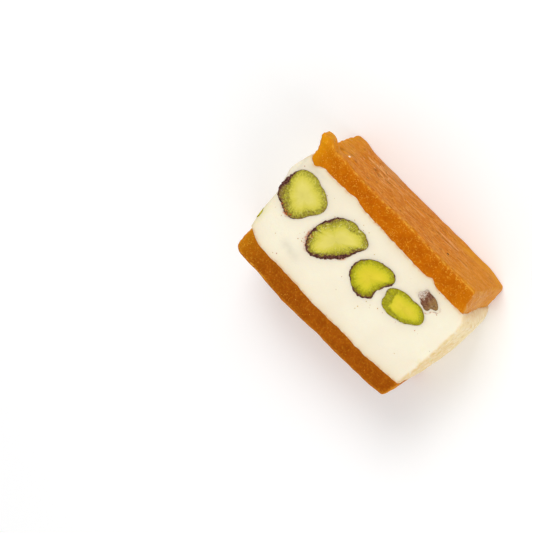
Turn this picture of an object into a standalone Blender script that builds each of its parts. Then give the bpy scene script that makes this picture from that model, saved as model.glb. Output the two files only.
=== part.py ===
# Nougat bar: white nougat set with pistachios between two layers of apricot paste.
# It lies on one cut face with the other one up. X runs along the bar, Y across its layers.
# Sizes are in millimetres and become metres where a mesh is made.
import math

import bmesh
import bpy

MM = 0.001

# The bar
DEPTH = 21.0
HALF_LENGTH = 23.0
GAP = 0.3

# Seams between the nougat and the paste
UPPER_SEAM = 10.45
UPPER_SEAM_SLOPE = -0.02
LOWER_SEAM = -11.0
LOWER_SEAM_ARCH = 0.0018

# Outer faces of the paste
UPPER_FACE = 15.15
LOWER_FACE = -15.35

# Ear of paste pushed out at one corner by the knife, and the notch under it
EAR_START = 16.2
EAR_END = 17.2
EAR_RISE = 1.2
CREASE_DEPTH = 0.65

# Rounding of the edges: (low side, high side) along X, Y and Z
NOUGAT_EDGES = ((0.8, 0.9), (0.35, 0.35), (0.7, 0.7))
UPPER_EDGES = ((0.8, 0.8), (0.3, 1.1), (0.8, 0.8))
LOWER_EDGES = ((2.2, 0.8), (1.5, 0.3), (0.8, 0.7))

# Nuts in the cut faces: middle, length, width, turn in degrees, depth in the nougat, and
# lobes (direction in degrees, spread in degrees, height) where the outline swells or is bitten
SHOWN_NUTS = {
    "pistachio_1": (
        (-18.4, 3.3), 9.3, 9.3, 0.0, 4.6,
        ((212, 30, 0.93), (135, 31, 0.77), (18, 25, 0.77), (274, 22, 0.73), (330, 19, -0.43), (75, 12, -0.3)),
    ),
    "pistachio_2": (
        (-7.3, 1.8), 12.4, 7.2, 56.0, 4.4,
        ((124, 39, 0.9), (34, 13, 1.18), (256, 23, 0.59), (351, 45, 0.36), (70, 9, -0.49), (187, 42, 0.55)),
    ),
    "pistachio_3": (
        (2.9, 1.5), 7.8, 7.8, 0.0, 4.2,
        ((42, 31, 1.52), (284, 36, 0.67), (346, 24, -0.96), (203, 33, 0.43), (123, 29, -0.26), (14, 10, -0.6)),
    ),
    "pistachio_4": (
        (12.2, 2.1), 9.4, 5.4, 3.0, 3.2,
        ((216, 45, 0.88), (33, 38, 0.48), (341, 23, -0.51), (156, 44, 0.19), (191, 14, -0.75), (82, 17, -0.23)),
    ),
    "pistachio_5": (
        (14.6, 6.9), 4.8, 2.9, 2.0, 1.8,
        ((135, 16, 0.4), (160, 12, -0.2), (218, 18, -0.3), (294, 20, 0.4), (312, 12, 0.2), (338, 12, -0.35)),
    ),
}
HIDDEN_NUTS = {
    "pistachio_6": (
        (-16.0, -1.0), 10.6, 6.6, -28.0, 4.0,
        ((-160, 20, 0.4), (30, 20, 0.3), (80, 24, -0.3)),
    ),
    "pistachio_7": (
        (-4.6, 3.2), 8.4, 7.4, 74.0, 4.2,
        ((20, 22, 0.5), (130, 20, 0.4), (-95, 24, 0.3)),
    ),
    "pistachio_8": (
        (5.6, -2.6), 11.2, 6.0, 38.0, 3.8,
        ((-130, 16, 0.3), (60, 18, 0.3), (-20, 26, 0.2)),
    ),
    "pistachio_9": (
        (16.4, 2.4), 8.6, 6.2, -12.0, 3.8,
        ((160, 20, 0.3), (-60, 22, 0.3), (70, 24, -0.2)),
    ),
}
OUTLINE_POINTS = 26
DOME_RINGS = 4

# The nut that shows in one end: middle and half sizes before the cut
END_NUT = ((-23.3, -5.9, 17.2), (2.2, 1.9, 5.0))

# Colours, linear: base colour and roughness
COLOURS = {
    "apricot_paste": ((0.56, 0.150, 0.006), 0.42),
    "nougat": ((0.90, 0.82, 0.64), 0.62),
    "pistachio": ((0.62, 0.58, 0.045), 0.50),
    "pistachio_skin": ((0.13, 0.060, 0.048), 0.65),
}


def clear_scene():
    for obj in list(bpy.data.objects):
        bpy.data.objects.remove(obj)


def make_material(name):
    colour, roughness = COLOURS[name]
    material = bpy.data.materials.new(name)
    material.use_nodes = True
    shader = material.node_tree.nodes["Principled BSDF"]
    shader.inputs["Base Color"].default_value = (*colour, 1.0)
    shader.inputs["Roughness"].default_value = roughness
    shader.inputs["Metallic"].default_value = 0.0
    return material


def mix(low, high, part):
    return low + (high - low) * part


def ease(low, high, value):
    part = min(max((value - low) / (high - low), 0.0), 1.0)
    return part * part * (3.0 - 2.0 * part)


def swell(value, middle, spread):
    return math.exp(-(((value - middle) / spread) ** 2))


def upper_seam(x, z):
    front = ease(12.0, 21.0, z)
    drag = -1.1 * swell(x, -21.2, 1.3) + 0.5 * swell(x, -10.2, 1.8) + 0.6 * swell(x, 12.2, 0.9)
    wave = 0.12 * math.sin(0.5 * x + 0.3 * z)
    return UPPER_SEAM + UPPER_SEAM_SLOPE * x + drag * front + wave * (1.0 - front)


def lower_seam(x, z):
    corner = 1.05 * swell(x, -22.0, 1.8)
    wave = 0.12 * math.sin(0.45 * x - 0.35 * z)
    return LOWER_SEAM + LOWER_SEAM_ARCH * (x + 3.0) ** 2 + corner + wave


def upper_face(x, z):
    """The paste's outer face leans out a little toward the back, with a creased ear at one end."""
    lean = 0.75 * (DEPTH - z) / DEPTH
    slant = 0.45 * ease(-14.0, 18.0, x) - 0.45
    corners = (0.4 * swell(x, -20.0, 1.8) - 0.8 * ease(17.0, 22.5, x)) * ease(9.0, 1.0, z)
    ear = EAR_RISE * ease(-19.5, -22.5, x) * ease(EAR_START, EAR_END, z)
    crease = CREASE_DEPTH * swell(z, 16.3 + 0.12 * (x + 22.0), 0.7) * ease(-13.0, -21.0, x)
    wave = 0.12 * math.sin(0.33 * x + 1.0) * math.sin(0.4 * z)
    return UPPER_FACE + lean + slant + corners + ear - crease + wave


def lower_face(x, z):
    taper = 0.0017 * max(x + 6.0, 0.0) ** 2 - 0.012 * min(x + 10.0, 0.0)
    wave = 0.15 * math.sin(0.3 * x + 0.5) * math.sin(0.35 * z + 0.6)
    return LOWER_FACE + taper + wave


def pillow(y):
    """How far the squeezed nougat stands out of its ends, from 0 at a seam to 1."""
    if y < 5.0:
        return 1.0 - ((5.0 - y) / 16.5) ** 2
    return 1.0 - (min(y - 5.0, 5.5) / 5.5) ** 4


def end_swell(z):
    """How full an end is at each height, fullest a little above the middle."""
    return 1.0 - 0.35 * ((z - 12.0) / 12.0) ** 2


def nougat_left(y, z):
    front = -22.9 - 1.5 * swell(y, 5.5, 4.2) + 0.012 * min(y + 2.0, 0.0) ** 2
    return front - 0.9 * pillow(y) * (end_swell(z) - end_swell(DEPTH))


def nougat_right(y, z):
    seam = mix(21.9, 22.3, (y + 10.9) / 21.2)
    lean = 1.0 - 0.5 * ease(14.0, 21.5, z)
    corner = 0.5 * swell(y, 10.2, 1.5) * ease(14.0, 21.0, z)
    return seam + 2.4 * pillow(y) * end_swell(z) * lean - corner


def upper_left(y, z):
    ear = max(0.7, 0.85 + 0.5 * (y - 12.3)) * ease(EAR_START, EAR_END, z)
    notch = 0.5 * swell(z, EAR_START - 0.1, 0.8) * ease(12.0, 15.0, y)
    return -22.3 - ear + notch - 0.25 * math.sin(0.3 * z)


def upper_right(y, z):
    slant = (0.02 + 0.20 * z / DEPTH) * (y - 10.3)
    return 22.45 - (z / DEPTH) ** 1.3 - slant + 0.06 * math.sin(0.5 * z)


def lower_left(y, z):
    return -21.6 - 0.15 * math.sin(0.35 * z + 0.4)


def lower_right(y, z):
    return 22.3 + 0.16 * (y + 10.9) - 0.5 * ((DEPTH - z) / DEPTH) ** 2


def rounded(point, half, edges):
    """Brings a point on the faces of a box onto the same box with rounded edges."""
    core, reach, radii = [], [], []
    for value, size, (low, high) in zip(point, half, edges):
        inner = min(max(value, low - size), size - high)
        radius = low if value < 0.0 else high
        core.append(inner)
        reach.append((value - inner) / radius)
        radii.append(radius)
    length = math.sqrt(sum(part * part for part in reach))
    return [c + r * part / length for c, r, part in zip(core, radii, reach)]


def axis_marks(half, edges, count, extra=()):
    """Grid lines along one axis: two in each rounded margin and even ones between them."""
    low, high = edges
    step = (2.0 * half - low - high) / count
    marks = [-half, -half + 0.42 * low, half - 0.42 * high, half]
    marks += [-half + low + step * i for i in range(count + 1)]
    return sorted(marks + list(extra))


def layer_shape(half_width, edges, seams, ends):
    """Returns the rule that turns a point of the plain box into its place on a layer."""
    half = (HALF_LENGTH, half_width, DEPTH / 2.0)

    def shape(point):
        x, y, z = rounded(point, half, edges)
        height = z + DEPTH / 2.0
        along = x
        for _ in range(3):
            across = mix(seams[0](along, height), seams[1](along, height), 0.5 + 0.5 * y / half_width)
            along = mix(ends[0](across, height), ends[1](across, height), 0.5 + 0.5 * x / HALF_LENGTH)
        return along * MM, across * MM, height * MM

    return shape


def grid_block(name, marks, shape, material):
    """A closed block with a grid on each face, every point placed by the given rule."""
    bm = bmesh.new()
    last = [len(axis) - 1 for axis in marks]
    grid = {}
    for i, x in enumerate(marks[0]):
        for j, y in enumerate(marks[1]):
            for k, z in enumerate(marks[2]):
                if i in (0, last[0]) or j in (0, last[1]) or k in (0, last[2]):
                    grid[i, j, k] = bm.verts.new(shape((x, y, z)))
    for axis in range(3):
        first, second = (axis + 1) % 3, (axis + 2) % 3
        for side in (0, last[axis]):
            for a in range(last[first]):
                for b in range(last[second]):
                    ring = []
                    for da, db in ((0, 0), (1, 0), (1, 1), (0, 1)):
                        key = [0, 0, 0]
                        key[axis], key[first], key[second] = side, a + da, b + db
                        ring.append(grid[tuple(key)])
                    bm.faces.new(ring if side else ring[::-1])
    bmesh.ops.triangulate(bm, faces=bm.faces)
    return finish_mesh(name, bm, material)


def finish_mesh(name, bm, material):
    mesh = bpy.data.meshes.new(name)
    bm.to_mesh(mesh)
    bm.free()
    mesh.shade_smooth()
    mesh.set_sharp_from_angle(angle=math.radians(38.0))
    mesh.materials.append(material)
    obj = bpy.data.objects.new(name, mesh)
    bpy.context.scene.collection.objects.link(obj)
    return obj


def outline(nut, grow):
    """Points round a nut's cut face: an oval with its lobes, grown outward all round."""
    (x, y), length, width, turn, _, lobes = nut
    ring = []
    for step in range(OUTLINE_POINTS):
        angle = 2.0 * math.pi * step / OUTLINE_POINTS
        local = angle - math.radians(turn)
        half, side = length / 2.0, width / 2.0
        reach = half * side / math.hypot(side * math.cos(local), half * math.sin(local))
        for direction, spread, height in lobes:
            off = (math.degrees(angle) - direction + 180.0) % 360.0 - 180.0
            reach += height * swell(off, 0.0, spread)
        reach += grow
        ring.append((x + reach * math.cos(angle), y + reach * math.sin(angle), reach))
    return ring


def nut_body(name, nut, face, way, grow, stand_out, material):
    """A nut with a flat cut face at one height and a rounded back in the nougat."""
    centre, depth = nut[0], nut[4] + grow
    ring = outline(nut, grow)
    levels = [(1.0, -stand_out), (1.0, 0.25 * depth)]
    for step in range(1, DOME_RINGS):
        turn = 0.5 * math.pi * step / DOME_RINGS
        levels.append((math.cos(turn), depth * (0.25 + 0.75 * math.sin(turn))))
    bm = bmesh.new()
    rows = []
    for scale, down in levels:
        rows.append([
            bm.verts.new((
                mix(centre[0], x, scale) * MM,
                mix(centre[1], y, scale) * MM,
                (face - way * down) * MM,
            ))
            for x, y, _ in ring
        ])
    tip = bm.verts.new((centre[0] * MM, centre[1] * MM, (face - way * depth) * MM))
    bm.faces.new(rows[0])
    for upper, lower in zip(rows, rows[1:]):
        for i in range(OUTLINE_POINTS):
            j = (i + 1) % OUTLINE_POINTS
            bm.faces.new((upper[i], lower[i], lower[j], upper[j]))
    for i in range(OUTLINE_POINTS):
        bm.faces.new((rows[-1][i], tip, rows[-1][(i + 1) % OUTLINE_POINTS]))
    bmesh.ops.recalc_face_normals(bm, faces=bm.faces)
    bmesh.ops.triangulate(bm, faces=bm.faces)
    return finish_mesh(name, bm, material)


def end_nut_body(name, grow, material):
    centre, half = END_NUT
    bm = bmesh.new()
    bmesh.ops.create_uvsphere(bm, u_segments=18, v_segments=12, radius=1.0)
    for vert in bm.verts:
        for axis in range(3):
            vert.co[axis] = (centre[axis] + (half[axis] + grow) * vert.co[axis]) * MM
    return finish_mesh(name, bm, material)


def hide_tool(obj):
    obj.hide_render = True
    obj.display_type = "WIRE"


def make_layers(materials):
    paste = materials["apricot_paste"]
    half = DEPTH / 2.0

    def seam(rule, shift):
        return lambda x, z: rule(x, z) + shift * GAP / 2.0

    nougat = grid_block(
        "nougat",
        (
            axis_marks(HALF_LENGTH, NOUGAT_EDGES[0], 26),
            axis_marks(10.5, NOUGAT_EDGES[1], 10),
            axis_marks(half, NOUGAT_EDGES[2], 9),
        ),
        layer_shape(
            10.5, NOUGAT_EDGES, (seam(lower_seam, 1.0), seam(upper_seam, -1.0)), (nougat_left, nougat_right)
        ),
        materials["nougat"],
    )
    upper = grid_block(
        "apricot_layer_upper",
        (
            axis_marks(HALF_LENGTH, UPPER_EDGES[0], 26),
            axis_marks(2.4, UPPER_EDGES[1], 3),
            axis_marks(half, UPPER_EDGES[2], 11, (5.3, 5.9, 6.5)),
        ),
        layer_shape(2.4, UPPER_EDGES, (seam(upper_seam, 1.0), upper_face), (upper_left, upper_right)),
        paste,
    )
    lower = grid_block(
        "apricot_layer_lower",
        (
            axis_marks(HALF_LENGTH, LOWER_EDGES[0], 26),
            axis_marks(2.2, LOWER_EDGES[1], 2),
            axis_marks(half, LOWER_EDGES[2], 7),
        ),
        layer_shape(2.2, LOWER_EDGES, (lower_face, seam(lower_seam, -1.0)), (lower_left, lower_right)),
        paste,
    )
    return nougat, upper, lower


def set_nuts(nougat, materials):
    """Puts the nuts in the nougat's cut faces and in one end, each in a pocket of its own."""
    pockets = bpy.data.collections.new("nut_pockets")
    bpy.context.scene.collection.children.link(pockets)
    made = []

    def pocket(obj):
        bpy.context.scene.collection.objects.unlink(obj)
        pockets.objects.link(obj)
        hide_tool(obj)
        made.append(obj)

    for nuts, face, way in ((SHOWN_NUTS, DEPTH, 1.0), (HIDDEN_NUTS, 0.0, -1.0)):
        for name, nut in nuts.items():
            kind = "pistachio_skin" if name == "pistachio_5" else "pistachio"
            made.append(nut_body(name, nut, face, way, 0.0, 0.0, materials[kind]))
            pocket(nut_body(name + "_pocket", nut, face, way, GAP, 1.0, materials["nougat"]))

    form = bpy.data.objects.new("nougat_form", nougat.data)
    bpy.context.scene.collection.objects.link(form)
    hide_tool(form)
    end_nut = end_nut_body("pistachio_end", 0.0, materials["pistachio"])
    trim = end_nut.modifiers.new("trim", "BOOLEAN")
    trim.operation, trim.object, trim.solver = "INTERSECT", form, "EXACT"
    pocket(end_nut_body("pistachio_end_pocket", GAP, materials["nougat"]))
    made += [form, end_nut]

    cut = nougat.modifiers.new("pockets", "BOOLEAN")
    cut.operation, cut.operand_type, cut.collection = "DIFFERENCE", "COLLECTION", pockets
    cut.solver = "EXACT"
    return made


def centre_bar(layers, others):
    """Parents every piece to one empty and moves that, so the bar stands over the origin."""
    points = [vert.co for layer in layers for vert in layer.data.vertices]
    bar = bpy.data.objects.new("nougat_bar", None)
    bpy.context.scene.collection.objects.link(bar)
    for axis in (0, 1):
        values = [point[axis] for point in points]
        bar.location[axis] = -(min(values) + max(values)) / 2.0
    for obj in (*layers, *others):
        obj.parent = bar


def main():
    clear_scene()
    materials = {name: make_material(name) for name in COLOURS}
    layers = make_layers(materials)
    others = set_nuts(layers[0], materials)
    centre_bar(layers, others)
    bpy.context.view_layer.update()


main()
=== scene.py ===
from collections import namedtuple
import itertools
import math

import bpy
import numpy as np
from mathutils import Matrix, Vector


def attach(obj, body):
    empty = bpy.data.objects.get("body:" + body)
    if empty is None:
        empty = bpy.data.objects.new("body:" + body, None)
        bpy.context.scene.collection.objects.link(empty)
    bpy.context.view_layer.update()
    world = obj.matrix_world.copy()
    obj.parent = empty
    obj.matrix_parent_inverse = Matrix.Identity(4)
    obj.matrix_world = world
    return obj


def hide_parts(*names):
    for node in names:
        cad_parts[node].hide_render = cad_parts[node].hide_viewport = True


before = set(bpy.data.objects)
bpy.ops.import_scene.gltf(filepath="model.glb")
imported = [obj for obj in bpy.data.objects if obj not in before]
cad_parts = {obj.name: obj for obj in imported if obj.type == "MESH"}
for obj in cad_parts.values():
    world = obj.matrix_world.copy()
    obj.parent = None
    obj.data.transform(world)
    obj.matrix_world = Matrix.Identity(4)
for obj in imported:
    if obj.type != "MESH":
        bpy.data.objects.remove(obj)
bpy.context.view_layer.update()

# Shapes are worked out in millimetres, then moved onto the frame's origin and made metres
MM = 0.001
SHIFT = np.array([-0.0505, -0.2355, 0.0])

# The bar, with the sizes of its solids
DEPTH = 21.0
HALF_LENGTH = 23.0
UPPER_SEAM, UPPER_SEAM_SLOPE = 10.22, -0.018
LOWER_SEAM, LOWER_SEAM_ARCH = -10.75, 0.0013
UPPER_FACE, LOWER_FACE = 15.15, -15.35
EAR_START, EAR_END, EAR_RISE = 16.2, 17.2, 1.2
CREASE_DEPTH = 0.65

# Layers: half width, rounded edges at the low and high end of each axis, and grid steps
Layer = namedtuple("Layer", "half edges steps")
NOUGAT = Layer(10.5, ((0.8, 1.3), (0.12, 0.12), (0.7, 0.8)), (0.2, 0.2, 0.42))
THICK = Layer(2.4, ((0.8, 0.8), (0.12, 1.1), (0.8, 0.8)), (0.2, 0.16, 0.16))
THIN = Layer(2.2, ((2.2, 0.8), (1.5, 0.12), (0.8, 0.7)), (0.2, 0.16, 0.2))

# Nuts: middle, length, width, turn, lobes of the outline and of the kernel's cut edge
# (direction, spread, height), bands of skin (direction, spread, width), broken facets
# (direction, offset), pale side (direction, spread, shift), width of the thin skin elsewhere,
# how vivid the green is, how stringy the kernel, and how much of it the skin covers
SHOWN_NUTS = {
    "pistachio_1": dict(
        middle=(-18.4, 3.3), length=9.3, width=9.3, turn=0.0,
        lobes=(
            (212, 30, 0.93), (135, 31, 0.77), (18, 25, 0.77), (274, 22, 0.73), (330, 19, -0.43),
            (75, 12, -0.3),
        ),
        kernel=(
            (192, 45, -0.76), (328, 22, -0.9), (15, 29, 0.76), (134, 23, 0.85), (73, 12, -0.34),
            (247, 16, -0.6), (286, 32, -0.18),
        ),
        skin=((186, 20, 0.85), (228, 20, 0.25), (262, 24, 0.15), (150, 14, 0.2)),
        facets=((218, 3.2), (5, 4.3), (330, 3.5)),
        pale=(165, 26, 0.5), line=0.08, vivid=0.0, stringy=0.5,
    ),
    "pistachio_2": dict(
        middle=(-7.3, 1.8), length=12.4, width=7.2, turn=56.0,
        lobes=(
            (124, 39, 0.9), (34, 13, 1.18), (256, 23, 0.59), (351, 45, 0.36), (70, 9, -0.49),
            (187, 42, 0.55),
        ),
        kernel=(
            (280, 32, -1.0), (34, 11, 1.5), (346, 41, -0.75), (224, 15, -0.95), (97, 45, 0.32),
            (190, 28, 0.23), (70, 8, -0.58), (23, 8, -0.78), (150, 22, -0.28), (199, 5, -0.7),
        ),
        skin=((-92, 34, 0.6), (-38, 30, 0.75), (2, 16, 0.5), (148, 26, 0.45), (205, 22, 0.3), (199, 6, 0.8)),
        facets=((40, 5.6), (104, 3.7)),
        pale=(255, 30, 0.7), line=0.1, vivid=0.1, stringy=1.0,
    ),
    "pistachio_3": dict(
        middle=(2.9, 1.5), length=7.8, width=7.8, turn=0.0,
        lobes=(
            (42, 31, 1.52), (284, 36, 0.67), (346, 24, -0.96), (203, 33, 0.43), (123, 29, -0.26),
            (14, 10, -0.6), (319, 8, 0.37),
        ),
        kernel=(
            (345, 33, -1.3), (54, 19, 1.16), (133, 41, -0.5), (265, 9, -0.26), (240, 11, 0.27),
            (37, 8, 1.0), (231, 8, -0.33), (350, 8, 0.35),
        ),
        skin=((-62, 36, 0.3), (15, 16, 0.25), (205, 24, 0.1)),
        pale=(150, 30, 0.2), line=0.2, vivid=1.0,
    ),
    "pistachio_4": dict(
        middle=(12.2, 2.1), length=9.4, width=5.4, turn=3.0,
        lobes=(
            (216, 45, 0.88), (33, 38, 0.48), (341, 23, -0.51), (156, 44, 0.19), (191, 14, -0.75),
            (82, 17, -0.23),
        ),
        kernel=(
            (214, 43, 0.99), (343, 24, -0.68), (18, 36, 0.44), (164, 11, 0.17), (78, 13, -0.33),
            (109, 8, 0.25), (192, 14, -0.78), (235, 13, -0.19),
        ),
        skin=((70, 40, 0.14),),
        facets=((190, 2.8), (262, 2.1), (300, 2.5)),
        pale=(80, 40, 0.5), line=0.03, vivid=0.95, covering=0.45,
    ),
    "pistachio_5": dict(
        middle=(14.6, 6.9), length=4.8, width=2.9, turn=2.0,
        lobes=(
            (135, 16, 0.4), (160, 12, -0.2), (218, 18, -0.3), (294, 20, 0.4), (312, 12, 0.2),
            (338, 12, -0.35), (0, 14, 0.3),
        ),
        line=0.12, vivid=0.0,
    ),
}
HIDDEN_NUTS = {
    "pistachio_6": dict(
        middle=(-16.0, -1.0), length=10.6, width=6.6, turn=-28.0,
        lobes=((-160, 20, 0.4), (30, 20, 0.3), (80, 24, -0.3)),
        skin=((-70, 34, 0.6), (120, 24, 0.3)), facets=((160, 3.9),), line=0.1, vivid=0.3,
    ),
    "pistachio_7": dict(
        middle=(-4.6, 3.2), length=8.4, width=7.4, turn=74.0,
        lobes=((20, 22, 0.5), (130, 20, 0.4), (-95, 24, 0.3)),
        skin=((10, 30, 0.35), (-120, 26, 0.5)), facets=((80, 3.4),), line=0.15, vivid=0.8,
    ),
    "pistachio_8": dict(
        middle=(5.6, -2.6), length=11.2, width=6.0, turn=38.0,
        lobes=((-130, 16, 0.3), (60, 18, 0.3), (-20, 26, 0.2)),
        skin=((-40, 34, 0.6),), facets=((140, 2.3),), line=0.08, vivid=0.5,
    ),
    "pistachio_9": dict(
        middle=(16.4, 2.4), length=8.6, width=6.2, turn=-12.0,
        lobes=((160, 20, 0.3), (-60, 22, 0.3), (70, 24, -0.2)),
        skin=((90, 30, 0.35), (-150, 24, 0.3)), facets=((-20, 3.4),), line=0.1, vivid=0.1,
    ),
}
CHIP, CHIP_STEPS = "pistachio_5", 160

# The cut faces: their nuts, height and way up, and for each nut the points round its outline,
# the rings of its kernel, how far it stands out of the face, and the first seed
CutFace = namedtuple("CutFace", "nuts height way steps rings stand seed")
CUT_FACES = (
    CutFace(SHOWN_NUTS, DEPTH, 1.0, 300, 30, 0.05, 300),
    CutFace(HIDDEN_NUTS, 0.0, -1.0, 150, 16, -0.14, 900),
)

# Rows of points from the kernel's edge to the rim, as shares of the way, and rows tucked into
# the nougat below the rim, as shares of its reach and millimetres down
SKIN_ROWS = (0.03, 0.14, 0.28, 0.42, 0.56, 0.7, 0.82, 0.92, 1.0)
TUCKED_ROWS = ((1.0, 0.5), (0.93, 1.1), (0.6, 1.6))

# The nut in the left end: it lies a little under the end, and stands a little out of the cut face
END_NUT_MIDDLE = np.array([-23.3, -5.9, 16.9])
END_NUT_HALF = np.array([2.0, 1.9, 4.35])
END_NUT_SUNK, END_NUT_STAND = 0.06, 0.04

# Soft ovals on the shown cut face: middle, half sizes, turn and strength. They are grey marks (bits of nut
# under the face, and darker places by the upper seam at the left end), places where crumbs of nut and of
# fruit gather, and the shade in a nut's hollow side
SMUDGES = (
    ((-13.8, -6.3), (1.5, 1.1), -0.1, 0.6), ((-11.5, -6.9), (1.5, 1.0), -0.1, 0.5),
    ((-20.0, 9.0), (2.6, 0.5), 0.1, 0.7), ((-23.2, 8.2), (0.35, 1.6), 0.1, 0.7),
)
DIRTY_PLACES = (
    ((-20.0, -2.4), (1.0, 0.5), 0.0, 1.0), ((-12.2, -2.2), (0.8, 1.3), 0.0, 1.0),
    ((7.6, -2.3), (2.0, 0.6), 0.1, 1.0), ((16.0, 4.9), (1.2, 0.4), 0.0, 1.0),
    ((17.9, 6.4), (0.4, 0.5), 0.0, 1.0), ((9.4, 7.6), (0.6, 0.8), 0.0, 0.6),
)
HOLLOW_SHADE = (((7.0, 1.3), (1.0, 0.7), 0.6, 0.6),)
FRUIT_CRUMBS = {
    "pistachio_1": (((-20.6, -1.2), (0.8, 0.3), -0.6, 1.0), ((-18.6, -1.75), (1.3, 0.4), 0.05, 1.0)),
    "pistachio_2": (((-11.6, -1.5), (0.5, 0.4), 0.1, 1.0), ((-11.2, -2.9), (0.4, 0.6), -0.4, 1.0)),
}

# Bits of skin and fruit round a nut: direction, spread, distance from its outline and width
LOOSE_BITS = (
    ("pistachio_1", 270.0, 18.0, 0.08, 0.25), ("pistachio_2", 221.0, 20.0, 0.15, 0.35),
    ("pistachio_5", 325.0, 40.0, 0.62, 0.13), ("pistachio_2", 330.0, 14.0, 0.15, 0.15),
)

# Scratches on the outer face of the thick layer: both ends (x and z), half width and strength. They are cut
# in and laid darker, as painted shade in them
GROOVES = (
    ((-21.8, 17.2), (-18.2, 13.8), 0.40, 1.0), ((-21.0, 18.1), (-18.4, 16.0), 0.25, 0.6),
    ((-3.3, 7.5), (1.9, 4.7), 0.30, 0.7), ((5.0, 9.8), (10.1, 9.5), 0.34, 1.0),
    ((12.2, 12.6), (14.4, 12.0), 0.35, 0.8), ((-13.5, 10.0), (-8.6, 8.7), 0.30, 0.7),
    ((-1.0, 14.5), (3.2, 12.4), 0.30, 0.5),
)
# Raised lines on the same face, given the same way: they stand out and are laid lighter, as painted
# highlight
RIDGES = (
    ((-16.0, 6.8), (-8.5, 5.6), 0.36, 0.9), ((-14.5, 4.7), (-7.0, 3.6), 0.34, 0.8),
    ((-12.0, 8.6), (-6.0, 7.6), 0.32, 0.8), ((5.2, 8.7), (10.4, 8.4), 0.36, 1.0),
    ((-19.8, 16.8), (-16.0, 14.4), 0.32, 0.4), ((-6.5, 3.2), (0.5, 2.2), 0.36, 0.7),
    ((-4.0, 9.2), (0.8, 8.3), 0.30, 0.6), ((12.4, 13.6), (15.0, 13.0), 0.32, 0.4),
    ((-11.0, 12.0), (-7.5, 11.2), 0.30, 0.6),
)


# Small maths

def mix(low, high, part):
    return low + (high - low) * part


def ease(low, high, value):
    part = np.clip((value - low) / (high - low), 0.0, 1.0)
    return part * part * (3.0 - 2.0 * part)


def swell(value, middle, spread):
    return np.exp(-(((value - middle) / spread) ** 2))


def corner_value(cell, seed):
    """A steady number from -1 to 1 for each corner of the noise grid."""
    mixed = cell[:, 0] * 73856093 ^ cell[:, 1] * 19349663 ^ cell[:, 2] * 83492791 ^ (seed * 26544357)
    mixed = ((mixed & 0xFFFFFFFF) ^ ((mixed >> 13) & 0x7FFFF)) * 1274126177 & 0xFFFFFFFF
    mixed = mixed ^ (mixed >> 16)
    return mixed / 0x7FFFFFFF - 1.0


def noise(points, size, seed):
    scaled = points / size
    cell = np.floor(scaled).astype(np.int64)
    part = scaled - cell
    part = part * part * (3.0 - 2.0 * part)
    total = np.zeros(len(points))
    for corner in itertools.product((0, 1), repeat=3):
        weight = np.prod(np.where(np.array(corner, bool), part, 1.0 - part), axis=1)
        total += weight * corner_value(cell + np.array(corner), seed)
    return total


def rough(points, size, octaves, seed):
    """Noise from a feature size in millimetres down through finer ones."""
    total = np.zeros(len(points))
    for step in range(octaves):
        total += noise(points, np.asarray(size) / 2.0**step, seed + step) / 2.0**step
    return total


def stacked(*columns):
    return np.stack(np.broadcast_arrays(*columns), -1).astype(float)


def facing(normals, axis, low=0.4, high=0.9):
    """1 where the surface faces along an axis, either way, fading out as it turns aside."""
    return ease(low, high, np.abs(normals[:, axis]))


# The layers' faces and seams

def upper_seam(x, z):
    front = ease(12.0, 21.0, z)
    drag = -1.1 * swell(x, -21.2, 1.3) + 0.5 * swell(x, -10.2, 1.8) + 0.6 * swell(x, 12.2, 0.9)
    wave = 0.12 * np.sin(0.5 * x + 0.3 * z)
    fine = 0.11 * rough(stacked(x, 0.0, z), 1.5, 3, 31)
    return UPPER_SEAM + UPPER_SEAM_SLOPE * x + drag * front + wave * (1.0 - front) + fine


def lower_seam(x, z):
    corner = 1.05 * swell(x, -22.0, 1.8)
    wave = 0.12 * np.sin(0.45 * x - 0.35 * z)
    fine = 0.10 * rough(stacked(x, 0.0, z), 1.3, 3, 41)
    return LOWER_SEAM + LOWER_SEAM_ARCH * (x + 3.0) ** 2 + corner + wave + fine


def upper_face(x, z):
    lean = 0.75 * (DEPTH - z) / DEPTH
    slant = 0.45 * ease(-14.0, 18.0, x) - 0.45
    corners = (0.4 * swell(x, -20.0, 1.8) - 0.8 * ease(17.0, 22.5, x)) * ease(9.0, 1.0, z)
    ear = EAR_RISE * ease(-19.5, -22.5, x) * ease(EAR_START, EAR_END, z)
    crease = CREASE_DEPTH * swell(z, 16.3 + 0.12 * (x + 22.0), 0.7) * ease(-13.0, -21.0, x)
    wave = 0.12 * np.sin(0.33 * x + 1.0) * np.sin(0.4 * z)
    return UPPER_FACE + lean + slant + corners + ear - crease + wave


def lower_face(x, z):
    taper = 0.0017 * np.maximum(x + 6.0, 0.0) ** 2 - 0.012 * np.minimum(x + 10.0, 0.0)
    wave = 0.15 * np.sin(0.3 * x + 0.5) * np.sin(0.35 * z + 0.6)
    return LOWER_FACE + taper + wave


def pillow(y):
    """How far the squeezed nougat stands out of its ends, from 0 at a seam to 1."""
    below = 1.0 - ((5.0 - y) / 16.5) ** 2
    above = 1.0 - (np.clip(y - 5.0, 0.0, 5.5) / 5.5) ** 4
    return np.where(y < 5.0, below, above)


def end_swell(z):
    return 1.0 - 0.35 * ((z - 12.0) / 12.0) ** 2


def nougat_left(y, z):
    front = -22.9 - 1.5 * swell(y, 5.5, 4.2) + 0.012 * np.minimum(y + 2.0, 0.0) ** 2
    return front - 0.9 * pillow(y) * (end_swell(z) - end_swell(DEPTH))


def nougat_right(y, z):
    seam = mix(21.9, 22.3, (y + 10.9) / 21.2)
    lean = 1.0 - 0.5 * ease(14.0, 21.5, z)
    corner = 0.5 * swell(y, 10.2, 1.5) * ease(14.0, 21.0, z)
    return seam + 2.4 * pillow(y) * end_swell(z) * lean - corner


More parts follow.
